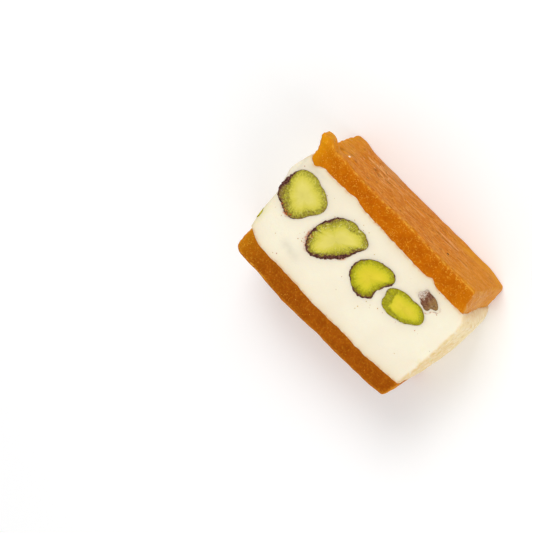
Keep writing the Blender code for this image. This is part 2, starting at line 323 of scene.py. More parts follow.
def upper_left(y, z):
    ear = np.maximum(0.7, 0.85 + 0.5 * (y - 12.3)) * ease(EAR_START, EAR_END, z)
    notch = 0.5 * swell(z, EAR_START - 0.1, 0.8) * ease(12.0, 15.0, y)
    return -22.3 - ear + notch - 0.25 * np.sin(0.3 * z)


def upper_right(y, z):
    slant = (0.02 + 0.20 * z / DEPTH) * (y - 10.3)
    return 22.45 - np.maximum(z / DEPTH, 0.0) ** 1.3 - slant + 0.06 * np.sin(0.5 * z)


def lower_left(y, z):
    return -21.6 - 0.15 * np.sin(0.35 * z + 0.4)


def lower_right(y, z):
    return 22.3 + 0.16 * (y + 10.9) - 0.5 * ((DEPTH - z) / DEPTH) ** 2


def sunk(rule, amount):
    """A seam moved a little, so that a layer runs just under its neighbour's edge."""
    return lambda x, z: rule(x, z) + amount


# Meshes

def show(name, data):
    obj = bpy.data.objects.new(name, data)
    bpy.context.scene.collection.objects.link(obj)
    return obj


def write_mark(mesh, mark, values):
    values = np.broadcast_to(values, len(mesh.vertices)).astype(np.float32)
    mesh.attributes.new(mark, "FLOAT", "POINT").data.foreach_set("value", values)


def finish_mesh(name, points, faces, marks, material):
    """A smooth mesh from points in millimetres, kept above the table, with a number for each
    point under each mark's name."""
    points[:, 2] = np.maximum(points[:, 2], 0.0)
    mesh = bpy.data.meshes.new(name)
    mesh.from_pydata(((points + SHIFT) * MM).tolist(), [], faces)
    mesh.polygons.foreach_set("use_smooth", [True] * len(mesh.polygons))
    for mark, values in marks.items():
        write_mark(mesh, mark, values)
    mesh.materials.append(material)
    mesh.update()
    return show(name, mesh)


def point_normals(points, faces):
    mesh = bpy.data.meshes.new("scratch")
    mesh.from_pydata(points.tolist(), [], faces)
    normals = np.empty(len(points) * 3, np.float32)
    mesh.vertex_normals.foreach_get("vector", normals)
    bpy.data.meshes.remove(mesh)
    return normals.reshape(-1, 3).astype(float)


def own_points(obj):
    """A finished piece's points in the drawing's millimetres, and its point normals."""
    read = np.empty((2, len(obj.data.vertices) * 3), np.float32)
    obj.data.vertices.foreach_get("co", read[0])
    obj.data.vertex_normals.foreach_get("vector", read[1])
    return read[0].reshape(-1, 3) / MM - SHIFT, read[1].reshape(-1, 3)


def axis_marks(half, edges, step):
    """Grid lines along one axis, close together in the rounded margins."""
    low, high = edges
    rounds = 5 if max(edges) > 0.5 else 3
    inner = np.linspace(-half + low, half - high, int((2.0 * half - low - high) / step) + 1)
    bend = np.linspace(0.0, 1.0, rounds)[:-1] ** 1.2
    return np.concatenate([-half + low * bend, inner, half - high * bend[::-1]])


def block_grid(marks):
    """Points and quads of the six grid faces of a box, shared along its edges."""
    sizes = [len(axis) for axis in marks]
    shell = np.ones(sizes, bool)
    shell[1:-1, 1:-1, 1:-1] = False
    index = np.full(sizes, -1)
    index[shell] = np.arange(shell.sum())
    grid = np.stack(np.meshgrid(*marks, indexing="ij"), -1)[shell]
    faces = []
    for axis in range(3):
        for side in (0, sizes[axis] - 1):
            sheet = np.take(index, side, axis)
            corners = (sheet[:-1, :-1], sheet[1:, :-1], sheet[1:, 1:], sheet[:-1, 1:])
            quads = np.stack(corners, -1).reshape(-1, 4)
            if (side > 0) == (axis == 1):
                quads = quads[:, ::-1]
            faces += quads.tolist()
    return grid, faces


def rounded(grid, half, edges):
    """Brings points on the faces of a box onto the same box with rounded edges."""
    half = np.array(half)
    low, high = np.array(edges).T
    core = np.clip(grid, low - half, half - high)
    radius = np.where(grid < 0.0, low, high)
    reach = (grid - core) / radius
    return core + radius * reach / np.linalg.norm(reach, axis=1)[:, None]


def layer_block(layer, seams, ends):
    """A rounded block whose sides are two seams and two ends: its grid, points and faces."""
    halves = (HALF_LENGTH, layer.half, DEPTH / 2.0)
    grid, faces = block_grid([axis_marks(*axis) for axis in zip(halves, layer.edges, layer.steps)])
    x, y, z = rounded(grid, halves, layer.edges).T
    height = z + DEPTH / 2.0
    along = x
    for _ in range(3):
        across = mix(seams[0](along, height), seams[1](along, height), 0.5 + 0.5 * y / layer.half)
        along = mix(ends[0](across, height), ends[1](across, height), 0.5 + 0.5 * x / HALF_LENGTH)
    return grid, np.stack([along, across, height], 1), faces


def ring_faces(steps, rows):
    """Faces between a first point, rows of points round it and a last point."""
    turns = [(i, (i + 1) % steps) for i in range(steps)]
    last_row = 1 + (rows - 1) * steps
    faces = [(0, 1 + i, 1 + j) for i, j in turns]
    for first in range(1, last_row, steps):
        faces += [(first + i, first + steps + i, first + steps + j, first + j) for i, j in turns]
    return faces + [(last_row + i, last_row + steps, last_row + j) for i, j in turns]


# Nuts

def around(angle, direction, spread):
    """1 in one direction in degrees, fading out to both sides of it."""
    return swell((np.degrees(angle) - direction + 180.0) % 360.0 - 180.0, 0.0, spread)


def lobed(angle, lobes):
    heights = (height * around(angle, direction, spread) for direction, spread, height in lobes)
    return sum(heights, np.zeros(len(angle)))


def oval(nut, angle):
    local = angle - math.radians(nut["turn"])
    half, side = nut["length"] / 2.0, nut["width"] / 2.0
    return half * side / np.hypot(side * np.cos(local), half * np.sin(local))


def from_middle(nut, x, y):
    """Distance and direction from a nut's middle."""
    dx, dy = x - nut["middle"][0], y - nut["middle"][1]
    return np.hypot(dx, dy), np.arctan2(dy, dx)


def nut_distance(nut, x, y):
    """Distance outside a nut's outline, negative inside it."""
    distance, angle = from_middle(nut, x, y)
    return distance - oval(nut, angle) - lobed(angle, nut["lobes"])


def end_nut_gap(y, z):
    """How far outside the end nut's outline a place on the end is, in shares of its size."""
    across, upward = [(v - END_NUT_MIDDLE[axis]) / END_NUT_HALF[axis] for axis, v in ((1, y), (2, z))]
    return np.hypot(across, upward) - 1.0


def broken_facets(nut, flat, depth, seed):
    """Kernel depth with greener facets where pieces broke off, and how far those fall away."""
    fall = np.zeros(len(flat))
    for direction, offset in nut.get("facets", ()):
        turn = math.radians(direction)
        beyond = flat[:, 0] * math.cos(turn) + flat[:, 1] * math.sin(turn) - offset
        beyond = beyond + 0.35 * rough(flat, 1.2, 3, seed)
        broken = mix(np.maximum(depth, 0.0), np.minimum(depth, 0.35), ease(-0.35, 0.2, beyond))
        depth = np.minimum(depth, broken)
        fall += 0.16 * ease(-0.1, 0.5, beyond)
    return depth, np.minimum(fall, 0.14)


def nut_mesh(name, nut, face, steps, seed, material):
    """A cut nut: a broken-edged kernel face inside its band of skin, tucked into the nougat."""
    angle = np.linspace(0.0, 2.0 * math.pi, steps, endpoint=False)
    circle = stacked(np.cos(angle), np.sin(angle), 0.0)
    rim = oval(nut, angle) + lobed(angle, nut["lobes"])
    path = circle * rim[:, None]
    band = nut["line"] + lobed(angle, nut.get("skin", ()))
    ragged = 0.10 * rough(path, 1.2, 4, seed)
    kernel = oval(nut, angle) + lobed(angle, nut["kernel"]) if "kernel" in nut else rim - band
    kernel = np.minimum(kernel + 0.18 + ragged + 0.09 * rough(path, 0.4, 3, seed + 3), rim - 0.03)
    rim = rim + 0.6 * ragged + 0.45 * np.minimum(band, 0.4) * rough(path, 0.4, 2, seed + 9)
    rim = np.maximum(rim, kernel + 0.04)
    band = np.maximum(band * (1.0 + 0.5 * rough(path, 0.8, 3, seed + 15)), 0.02)
    lean, spread, lift = nut.get("pale", (0.0, 1.0, 0.0))
    paler = lift * around(angle, lean, spread)

    stand = face.stand
    rows, inside, skin = [], [], []

    def add_row(radius, height, depth, cover):
        rows.append(stacked(circle[:, 0] * radius, circle[:, 1] * radius, height))
        inside.append(np.broadcast_to(depth, steps))
        skin.append(np.broadcast_to(cover, steps))

    for part in np.sin(np.linspace(0.0, 0.5 * math.pi, face.rings + 1)[1:]):
        radius = part * kernel
        flat = circle * radius[:, None]
        edge = kernel - radius
        depth, fall = broken_facets(nut, flat, edge + paler * ease(0.0, 0.5, edge), seed + 21)
        groove = 0.03 + 0.08 * np.clip((rim - kernel) / 0.5, 0.0, 1.0)
        height = stand + 0.06 * (1.0 - part**2) - groove * swell(edge, 0.0, 0.18) - fall
        height += 0.025 * rough(flat, 1.1, 3, seed + 31)
        height += 0.06 * np.exp(-depth / 0.6) * rough(flat, 0.45, 3, seed + 35)
        add_row(radius, height, depth, 0.0)
    wide = np.clip((rim - kernel) / 0.4, 0.0, 1.0)
    for part in SKIN_ROWS:
        radius = mix(kernel, rim, part)
        flat = circle * radius[:, None]
        cover = np.clip((band - (rim - radius)) / 0.1 + 0.5, 0.0, 1.0) * ease(0.0, 0.14, band)
        cover = cover * nut.get("covering", 1.0)
        height = stand - 0.08 + 0.07 * wide * cover - 0.06 * part**4
        height += 0.06 * wide * rough(flat, 0.3, 2, seed + 41) * (part < 1.0)
        add_row(radius, height, kernel - radius, cover)
    for part, drop in TUCKED_ROWS:
        add_row(rim * part, stand - drop, -0.3, 1.0)

    points = np.vstack([[[0.0, 0.0, stand + 0.06]], *rows, [[0.0, 0.0, stand - 1.8]]])
    faces = ring_faces(steps, len(rows))
    if face.way < 0.0:
        faces = [ring[::-1] for ring in faces]
    points[:, :2] += nut["middle"]
    points[:, 2] = face.height + face.way * points[:, 2]
    marks = {
        "kernel_depth": np.concatenate([[3.0], *inside, [0.0]]),
        "skin": np.concatenate([[0.0], *skin, [1.0]]),
        "vivid": nut["vivid"],
        "rim_x": np.concatenate([[0.0], np.tile(path[:, 0], len(rows)), [0.0]]),
        "rim_y": np.concatenate([[0.0], np.tile(path[:, 1], len(rows)), [0.0]]),
        "stringy": nut.get("stringy", 0.4),
    }
    return finish_mesh(name, points, faces, marks, material)


def end_nut_mesh(name, material):
    """The nut that breaks through one end, cut flush with the end and the face above it."""
    rows, steps = 58, 90
    theta = np.linspace(0.0, math.pi, rows + 2)[1:-1, None]
    phi = np.linspace(0.0, 2.0 * math.pi, steps, endpoint=False)
    ball = stacked(np.sin(theta) * np.cos(phi), np.sin(theta) * np.sin(phi), np.cos(theta)).reshape(-1, 3)
    ball = np.vstack([[[0.0, 0.0, 1.0]], ball, [[0.0, 0.0, -1.0]]])
    points = END_NUT_MIDDLE + END_NUT_HALF * ball * (1.0 + 0.04 * rough(ball, 0.5, 2, 77))[:, None]
    margin_x, margin_z = NOUGAT.edges[0][0], NOUGAT.edges[2][1]
    x, y, z = points.T.copy()
    wall = nougat_left(y, z)
    out_x = np.maximum((wall + margin_x - x) / margin_x, 0.0)
    out_z = np.maximum((z - DEPTH + margin_z) / margin_z, 0.0)
    over = np.maximum(np.hypot(out_x, out_z), 1.0)
    points[:, 0] = np.where(over > 1.0, wall + margin_x - out_x / over * margin_x - END_NUT_SUNK, x)
    above = (over > 1.0) & (out_z > 0.0)
    points[:, 2] = np.where(above, DEPTH - margin_z + out_z / over * margin_z + END_NUT_STAND, z)
    gap = end_nut_gap(points[:, 1], points[:, 2])
    marks = {
        "kernel_depth": np.clip(0.6 - gap * 3.5, 1.3, 2.8) + 0.3 * rough(points, 0.8, 3, 79),
        "skin": 0.7 * ease(-0.08, -0.01, gap) * ease(19.8, 18.5, points[:, 2]),
        "vivid": 1.0,
        "rim_x": points[:, 1],
        "rim_y": points[:, 2],
        "stringy": 0.0,
    }
    return finish_mesh(name, points, ring_faces(steps, rows), marks, material)


# The nougat

def nut_gaps(points, normals):
    """For each nut, the distance outside its outline, and 1 on the cut face in which it lies."""
    for face in CUT_FACES:
        on_face = ease(0.5, 0.9, face.way * normals[:, 2])
        for nut in face.nuts.values():
            yield nut_distance(nut, points[:, 0], points[:, 1]), on_face


def near_nuts(points, normals, spread):
    """1 at a nut's outline and inside it, fading out over the spread, on the two cut faces."""
    total = np.zeros(len(points))
    for gap, on_face in nut_gaps(points, normals):
        total = np.maximum(total, np.exp(-np.maximum(gap, 0.0) / spread) * on_face)
    return total


def soften_ends(points):
    """Rounds the seam edges of the nougat where it stands out past the ends of the paste."""
    x, y, z = points.T
    for rule, left, right, way in (
        (upper_seam, upper_left, upper_right, 1.0), (lower_seam, lower_left, lower_right, -1.0),
    ):
        seam = rule(x, z)
        over = np.maximum(left(seam, z) + 0.3 - x, x - right(seam, z) + 0.3)
        tuck = 0.2 * np.clip(over, 0.0, 1.2) ** 2
        points[:, 1] -= way * tuck * ease(2.6, 0.0, np.abs(y - seam) - 0.25)


def blots(x, y, places):
    """Soft oval marks: middle, half sizes, turn and strength of each."""
    total = np.zeros(len(x))
    for middle, half, turn, strength in places:
        dx, dy = x - middle[0], y - middle[1]
        along = dx * math.cos(turn) + dy * math.sin(turn)
        across = dy * math.cos(turn) - dx * math.sin(turn)
        total += strength * np.exp(-(along / half[0]) ** 2 - (across / half[1]) ** 2)
    return total


def loose_bits(points):
    """Bits of skin and fruit stuck round three of the nuts."""
    x, y, z = points.T
    total = np.zeros(len(points))
    for name, direction, spread, out, wide in LOOSE_BITS:
        nut = SHOWN_NUTS[name]
        angle = from_middle(nut, x, y)[1]
        total += around(angle, direction, spread) * swell(nut_distance(nut, x, y), out, wide)
    ragged = 0.2 + ease(-0.25, 0.35, rough(points, 0.4, 3, 91))
    return np.clip(1.3 * total * ragged * ease(18.0, 20.0, z), 0.0, 1.0)


def smudges(points):
    """Faint grey marks on the cut face: bits of nut just under it, and darker places by the upper seam and
    the edge at the left end.
    """
    x, y, z = points.T
    total = blots(x, y, SMUDGES) * (0.8 + 0.3 * rough(points, 0.9, 2, 71))
    return np.clip(total * ease(18.0, 20.0, z), 0.0, 1.0)


def green_glow_and_tinge(points):
    """A yellow-green cast: a painted glow round the nut at the end, and a tinge in a few places low on the
    far end.
    """
    x, y, z = points.T
    total = blots(y, z, ((END_NUT_MIDDLE[1:], (2.9, 6.2), 0.0, 1.0),)) * ease(-20.8, -22.6, x)
    ragged = ease(0.15, 0.6, rough(points, 1.1, 3, 83))
    total += 0.8 * ragged * ease(20.0, 22.0, x) * blots(y, z, (((-3.0, 14.0), (7.0, 7.0), 0.0, 1.0),))
    return np.clip(total, 0.0, 1.0)


def nougat_mesh(name, material):
    seams = (sunk(lower_seam, -0.25), sunk(upper_seam, 0.25))
    _, points, faces = layer_block(NOUGAT, seams, (nougat_left, nougat_right))
    soften_ends(points)
    x, y, z = points.T
    normals = point_normals(points, faces)
    on_end = facing(normals, 0)
    # Close to the right edge the cut face takes the end's colour: painted shade of that edge rounding off
    past_edge = x - nougat_right(y, DEPTH) + 0.7
    height = 0.035 * rough(points, (7.0, 3.0, 5.0), 3, 3) * facing(normals, 2, 0.5, 0.95)
    height += (0.12 * rough(points, 3.2, 3, 7) + 0.05 * rough(points, 1.1, 2, 9)) * on_end
    height -= 0.45 * ease(0.04, -0.12, end_nut_gap(y, z)) * ease(0.4, 0.85, -normals[:, 0])
    for gap, on_face in nut_gaps(points, normals):
        height -= on_face * (0.07 * swell(np.maximum(gap, 0.0), 0.0, 0.4) + 0.9 * ease(0.0, -0.5, gap))
    seam_gap = np.minimum(np.abs(y - upper_seam(x, z)), np.abs(y - lower_seam(x, z)))
    fringe = ease(0.45, 0.05, seam_gap) * ease(-0.5, 0.5, rough(points, 0.7, 3, 97))
    marks = {
        "nut_shade": near_nuts(points, normals, 0.85) + blots(x, y, HOLLOW_SHADE),
        "seam_glow": np.exp(-seam_gap / 0.7),
        "on_end": np.maximum(on_end, ease(0.0, 0.7, past_edge + 0.15 * rough(points, 1.2, 2, 15))),
        # The right end is laid yellower and darker: partly its own tint, partly painted shade, as it faces
        # away from the key light
        "right_end_tint_and_shade": ease(0.0, 5.0, x),
        "tan_end": ease(6.0, -3.0, y) * ease(0.0, 5.0, x),
        # Painted shade along the seams
        "painted_seam_shade": np.exp(-seam_gap / 1.8),
        "fringe": fringe * ease(0.6, 0.9, normals[:, 2]),
        "smudge": smudges(points),
        "loose_bits": loose_bits(points),
        "green_glow_and_tinge": green_glow_and_tinge(points),
    }
    return finish_mesh(name, points + normals * height[:, None], faces, marks, material)


# The paste

def scratch_lines(points, lines, seed):
    """1 along the middle of each scratch, thinner and fainter here and there."""
    x, z = points[:, 0], points[:, 2]
    total = np.zeros(len(points))
    for start, end, width, strength in lines:
        dx, dz = end[0] - start[0], end[1] - start[1]
        part = np.clip(((x - start[0]) * dx + (z - start[1]) * dz) / (dx * dx + dz * dz), 0.0, 1.0)
        gap = np.hypot(x - start[0] - part * dx, z - start[1] - part * dz)
        total = np.maximum(total, strength * swell(gap + 0.15 * noise(points, 1.3, seed), 0.0, width))
    return total * (0.7 + 0.5 * noise(points, 1.6, seed + 1))


def paste_relief(points, normals, seed):
    """Grain on the cut faces, scratches and dents on the moulded faces, and rough ends."""
    height = 0.045 * rough(points, 0.9, 3, seed) + 0.03 * rough(points, 3.0, 2, seed + 4)
    height *= facing(normals, 2, 0.5, 0.95)
    dents = 0.035 * rough(points, (3.0, 3.0, 1.1), 2, seed + 11) + 0.10 * rough(points, 3.4, 3, seed + 17)
    height += dents * facing(normals, 1)
    height += 0.10 * rough(points, 1.5, 3, seed + 23) * facing(normals, 0)
    return height + 0.17 * rough(points, 0.9, 3, seed + 29) * ease(-19.0, -22.0, points[:, 0])


def thick_tones_and_glow(points, moulded, end):
    """Yellower places, partly painted glow of light through the thin paste at the ends, pale film and
    scratched places of the thick layer.
    """
    x, z = points[:, 0], points[:, 2]
    right = ease(0.0, 1.0, x)
    back = ease(2.0, 15.0, x) * ease(7.5, 3.0, z) + 0.5 * ease(-16.5, -20.0, x)
    # Yellower towards the ends, along the back edge and low on the right end: partly the paste's own tone,
    # partly painted glow of light through the thin paste at the ends
    yellow_tone_and_glow = 0.8 * np.exp(-(x + 22.3) / 2.4) + 0.4 * np.exp(-(22.0 - x) / 3.0)
    yellow_tone_and_glow = np.maximum(yellow_tone_and_glow, 0.95 * moulded * back * (0.8 + 0.5 * noise(points, 1.4, 61)))
    yellow_tone_and_glow = np.maximum(yellow_tone_and_glow, 0.9 * end * ease(12.0, 4.0, z) * right)
    yellow_tone_and_glow = np.maximum(yellow_tone_and_glow, 0.3 * moulded * ease(8.0, 18.0, x))
    film = swell(x, -11.0, 4.0) * ease(4.5, 1.5, z) * moulded + 0.35 * end * right * ease(8.0, 16.0, z)
    scratched = swell(x, -11.0, 6.0) * ease(14.0, 9.0, z) + 0.7 * swell(x, 8.0, 4.0) * swell(z, 8.0, 3.0)
    return {"yellow_tone_and_glow": yellow_tone_and_glow, "film": film, "scratched": scratched + 0.15, "stroked": end * ease(3.0, 12.0, z)}


def thin_tones_and_glow(points, end):
    """The same for the thin layer, and its grain, which gathers at the left."""
    x, z = points[:, 0], points[:, 2]
    return {
        # Yellower at the left end: partly painted glow of light through the thin end
        "yellow_tone_and_glow": 0.5 * np.exp(-(x + 21.5) / 3.0),
        "film": 0.0,
        "scratched": 0.12 + 0.35 * swell(x, 4.0, 9.0) * swell(z, 9.0, 5.0),
        "stroked": end * 0.3,
        "grainy": 0.3 + 1.2 * np.exp(-(x + 21.6) / 3.5),
    }


def paste_mesh(name, layer, seams, ends, seed, material):
    thin = layer is THIN
    grid, points, faces = layer_block(layer, seams, ends)
    normals = point_normals(points, faces)
    height = paste_relief(points, normals, seed)
    margins = np.array([HALF_LENGTH, layer.half, DEPTH / 2.0]) - np.abs(grid)
    moulded = facing(normals, 1, 0.35, 0.85)
    end = facing(normals, 0, 0.35, 0.85) * (margins[:, 0] < 1.5)
    tones_and_glow = thin_tones_and_glow(points, end) if thin else thick_tones_and_glow(points, moulded, end)
    marks = {mark: np.clip(values, 0.0, 1.0) for mark, values in tones_and_glow.items()}
    outer = layer.half + grid[:, 1] * (1.0 if thin else -1.0)
    # Nearness to the front outer edge, where a yellow band and a bright broken line are laid: partly grains
    # and a pale film, partly painted highlight
    ridge = np.exp(-np.hypot(DEPTH / 2.0 - grid[:, 2], outer) / 0.55)
    marks["moulded"] = moulded
    marks["end_face"] = end
    marks["edge_glow"] = np.exp(-np.sort(margins, axis=1)[:, 1] / 0.5)
    # The thin layer's cut face is laid darker: painted shade
    marks["thin_layer_shade"] = float(thin)
    if thin:
        marks["ridge"] = ridge * (0.4 + 0.55 * ease(-9.0, -15.0, points[:, 0]))
    else:
        marks["ridge"] = ridge
        marks["grainy"] = 1.0
        # Scratches cut in and laid darker, painted shade; raised lines standing out and laid lighter,
        # painted highlight
        marks["groove"] = scratch_lines(points, GROOVES, 111) * moulded
        marks["raised_highlight"] = scratch_lines(points, RIDGES, 115) * moulded
        height += 0.09 * marks["raised_highlight"] - 0.16 * marks["groove"]
    return finish_mesh(name, points + normals * height[:, None], faces, marks, material)


# Node helpers

def tint(code):
    """Linear colour from a display colour written as six hexadecimal digits."""
    parts = [int(code[i:i + 2], 16) / 255.0 for i in (0, 2, 4)]
    return [*(((v + 0.055) / 1.055) ** 2.4 if v > 0.04045 else v / 12.92 for v in parts), 1.0]


class Nodes:
    """Adds nodes to one tree. An input is a plain value or another node's output."""

    def __init__(self, tree):
        self.tree = tree

    def add(self, kind, settings=(), inputs=()):
        """A node with its settings and inputs. Where the kind names no sort of node, it is a shader one."""
        node = self.tree.nodes.new(kind if "Node" in kind else "ShaderNode" + kind)
        for key, value in dict(settings).items():
            setattr(node, key, value)
        for key, value in dict(inputs).items():
            if isinstance(value, bpy.types.NodeSocket):
                self.tree.links.new(value, node.inputs[key])
            else:
                node.inputs[key].default_value = value
        return node

    def close(self, value):
        """Gives a group its one output, and gives back the group."""
        self.tree.links.new(value, self.add("NodeGroupOutput").inputs[0])
        return self.tree

    def calc(self, operation, first, second=0.0, clamp=False):
        settings = {"operation": operation, "use_clamp": clamp}
        return self.add("Math", settings, {0: first, 1: second}).outputs[0]

    def times(self, first, *others):
        for value in others:
            first = self.calc("MULTIPLY", first, value)
        return first

    def plus(self, first, *others):
        for value in others:
            first = self.calc("ADD", first, value)
        return first

    def remap(self, value, low, high, to_low=0.0, to_high=1.0):
        inputs = {"Value": value, "From Min": low, "From Max": high, "To Min": to_low, "To Max": to_high}
        return self.add("MapRange", {"interpolation_type": "SMOOTHSTEP"}, inputs).outputs["Result"]

    def noise(self, place, scale, detail, roughness=0.5):
        inputs = {"Vector": place, "Scale": scale, "Detail": detail, "Roughness": roughness}
        return self.add("TexNoise", (), inputs).outputs["Fac"]

    def split(self, place):
        return self.add("SeparateXYZ", (), {0: place}).outputs

    def joined(self, x, y, z):
        return self.add("CombineXYZ", (), {0: x, 1: y, 2: z}).outputs[0]


def new_group(name, output=("Mask", "Float"), kind="ShaderNodeTree", **inputs):
    """An empty group with one named output. Each input is given by its first value or its kind."""
    tree = bpy.data.node_groups.new(name, kind)
    for key, value in inputs.items():
        sort = value if isinstance(value, str) else {float: "Float", int: "Int"}[type(value)]
        socket = tree.interface.new_socket(name=key, in_out="INPUT", socket_type="NodeSocket" + sort)
        if not isinstance(value, str):
            socket.default_value = value
    tree.interface.new_socket(name=output[0], in_out="OUTPUT", socket_type="NodeSocket" + output[1])
    nodes = Nodes(tree)
    return nodes, nodes.add("NodeGroupInput").outputs


# Effects that several materials share

def make_millimetres():
    """The object's own coordinates in millimetres."""
    nodes, _ = new_group("millimetres", ("Place", "Vector"))
    place = nodes.add("TexCoord").outputs["Object"]
    scaled = nodes.add("VectorMath", {"operation": "SCALE"}, {0: place, "Scale": 1.0 / MM})
    return nodes.close(scaled.outputs[0])


def make_mottle():
    """Soft patches of a given size in millimetres, as a mask between two levels of the noise."""
    nodes, start = new_group("mottle", Place="Vector", Size=1.0, Detail=3.0, Low=0.35, High=0.65)
    pattern = nodes.noise(start["Place"], nodes.calc("DIVIDE", 1.0, start["Size"]), start["Detail"])
    return nodes.close(nodes.remap(pattern, start["Low"], start["High"]))


def make_specks():
    """Scattered small spots: the share of cells that hold one, and its radius in cells."""
    nodes, start = new_group("specks", Place="Vector", Size=1.0, Share=0.2, Radius=0.3)
    scale = nodes.calc("DIVIDE", 1.0, start["Size"])
    cells = nodes.add("TexVoronoi", {"feature": "F1"}, {"Vector": start["Place"], "Scale": scale}).outputs
    chosen = nodes.add("TexWhiteNoise", {"noise_dimensions": "3D"}, {"Vector": cells["Position"]})
    held = nodes.calc("LESS_THAN", chosen.outputs["Value"], start["Share"])
    spot = nodes.remap(cells["Distance"], start["Radius"], nodes.times(start["Radius"], 0.6))
    return nodes.close(nodes.times(held, spot))


def make_streaks():
    """Streaks drawn out along the bar: their length and width in millimetres."""
    nodes, start = new_group("drawn_streaks", Place="Vector", Length=8.0, Width=0.5, Low=0.4, High=0.65)
    parts = nodes.split(start["Place"])
    slant = nodes.plus(parts["Z"], nodes.times(parts["X"], 0.05))
    shares = ((parts["X"], "Length"), (parts["Y"], "Width"), (slant, "Width"))
    place = nodes.joined(*(nodes.calc("DIVIDE", part, start[size]) for part, size in shares))
    return nodes.close(nodes.remap(nodes.noise(place, 1.0, 4.0, 0.6), start["Low"], start["High"]))


def make_hairs():
    """Short thin curved lines in patches, drawn out along the bar by the stretch."""
    nodes, start = new_group(
        "hairs", Place="Vector", Size=1.0, Width=0.05, Share=0.5, Stretch=1.0, Shift=0.0
    )
    scale = nodes.calc("DIVIDE", 1.0, start["Size"])
    parts = nodes.split(start["Place"])
    along = nodes.calc("DIVIDE", parts["X"], start["Stretch"])
    place = nodes.joined(along, nodes.plus(parts["Y"], start["Shift"]), parts["Z"])
    off = nodes.calc("ABSOLUTE", nodes.calc("SUBTRACT", nodes.noise(place, scale, 1.0), 0.5))
    limit = nodes.calc("SUBTRACT", 1.0, start["Share"])
    patch = nodes.noise(place, nodes.times(scale, 1.7), 1.0)
    held = nodes.remap(patch, limit, nodes.plus(limit, 0.06))
    return nodes.close(nodes.times(nodes.remap(off, start["Width"], 0.0), held))


EFFECTS = {
    "millimetres": make_millimetres(),
    "mottle": make_mottle(),
    "specks": make_specks(),
    "streaks": make_streaks(),
    "hairs": make_hairs(),
}


# Materials

class Finish(Nodes):
    """A material while it is made: its nodes, its shader and the place on it in millimetres, in
    which its scale and the depth of its relief are given too."""

    def __init__(self, name, roughness, specular, subsurface, radius, scale):
        self.material = bpy.data.materials.new(name)
        self.material.use_nodes = True
        super().__init__(self.material.node_tree)
        self.shader = self.tree.nodes["Principled BSDF"]
        values = {
            "Roughness": roughness, "Specular IOR Level": specular, "Subsurface Weight": subsurface,
            "Subsurface Radius": radius, "Subsurface Scale": scale * MM,
        }
        for key, value in values.items():
            self.shader.inputs[key].default_value = value
        self.place = self.effect("millimetres")

    def effect(self, name, **inputs):
        return self.add("Group", {"node_tree": EFFECTS[name]}, inputs).outputs[0]

    def mottle(self, size, detail, low, high):
        return self.effect("mottle", Place=self.place, Size=size, Detail=detail, Low=low, High=high)

    def specks(self, size, share, radius):
        return self.effect("specks", Place=self.place, Size=size, Share=share, Radius=radius)

    def streaks(self, length, width, low, high):
        return self.effect("streaks", Place=self.place, Length=length, Width=width, Low=low, High=high)

    def hairs(self, size, width, share, stretch=1.0, shift=0.0, place=None):
        inputs = {"Size": size, "Width": width, "Share": share, "Stretch": stretch, "Shift": shift}
        return self.effect("hairs", Place=place or self.place, **inputs)

    def mark(self, name):
        return self.add("Attribute", {"attribute_name": name}).outputs["Fac"]

    def lay(self, under, *layers):
        """Lays colours over one another, each as strongly as its amounts multiplied together."""
        settings = {"data_type": "RGBA", "blend_type": "MIX", "clamp_factor": True}
        for over, *amounts in layers:
            under, over = [tint(colour) if isinstance(colour, str) else colour for colour in (under, over)]
            under = self.add("Mix", settings, {0: self.times(*amounts), 6: under, 7: over}).outputs[2]
        return under

    def ramp(self, value, stops):
        node = self.add("ValToRGB", (), {"Fac": value})
        elements = node.color_ramp.elements
        while len(elements) < len(stops):
            elements.new(0.5)
        for element, (place, code) in zip(elements, stops):
            element.position = place
            element.color = tint(code)
        return node.outputs["Color"]

    def finished(self, colour, relief=None, depth=0.0, strength=1.0):
        self.tree.links.new(colour, self.shader.inputs["Base Color"])
        if relief:
            bump = self.add("Bump", (), {"Height": relief, "Distance": depth * MM, "Strength": strength})
            self.tree.links.new(bump.outputs["Normal"], self.shader.inputs["Normal"])
        return self.material


def make_nougat_material():
    look = Finish("nougat", 0.55, 0.35, 0.25, (1.0, 0.75, 0.45), 1.6)
    mark, mottle, specks, lay = look.mark, look.mottle, look.specks, look.lay
    fine = mottle(0.8, 3.0, 0.3, 0.7)
    # The ends' colour; the right end yellower and darker, partly its own tint and partly painted shade
    end = lay(
        "EFE4CE", ("F0DAA6", mark("right_end_tint_and_shade")),
        ("DDB664", mottle(1.2, 6.0, 0.42, 0.66), 0.65),
        ("E2BC74", mark("tan_end"), 0.6),
        ("F4E8D0", mottle(0.8, 6.0, 0.48, 0.66), 0.6),
    )
    colour = lay(
        "F4EAD2", ("F9F1D9", mottle(9.0, 2.0, 0.3, 0.7)),
        ("F6EBD2", fine, 0.25),
        (end, mark("on_end"), 0.92),
        # Painted shade along the seams
        ("DCC8A8", mark("painted_seam_shade"), 0.16),
        ("E0B880", mark("seam_glow"), 0.40),
        ("E2A45C", mark("fringe"), 0.45),
        ("D2BFA6", mark("nut_shade"), 0.40),
        ("B08A60", specks(1.6, 0.05, 0.07), 0.6),
        ("BDB8A2", mark("smudge"), 0.55),
        (lay("CC6420", ("9A6848", fine)), mark("loose_bits"), 0.8),
        # A yellow-green cast: painted glow round the end nut, and a green tinge low on the far end
        ("D8CC54", mark("green_glow_and_tinge"), 0.5),
        ("D4CC4A", specks(1.5, 0.16, 0.13), mark("on_end"), 0.7),
    )
    return look.finished(colour, mottle(0.45, 4.0, 0.0, 1.0), 0.06, 0.6)


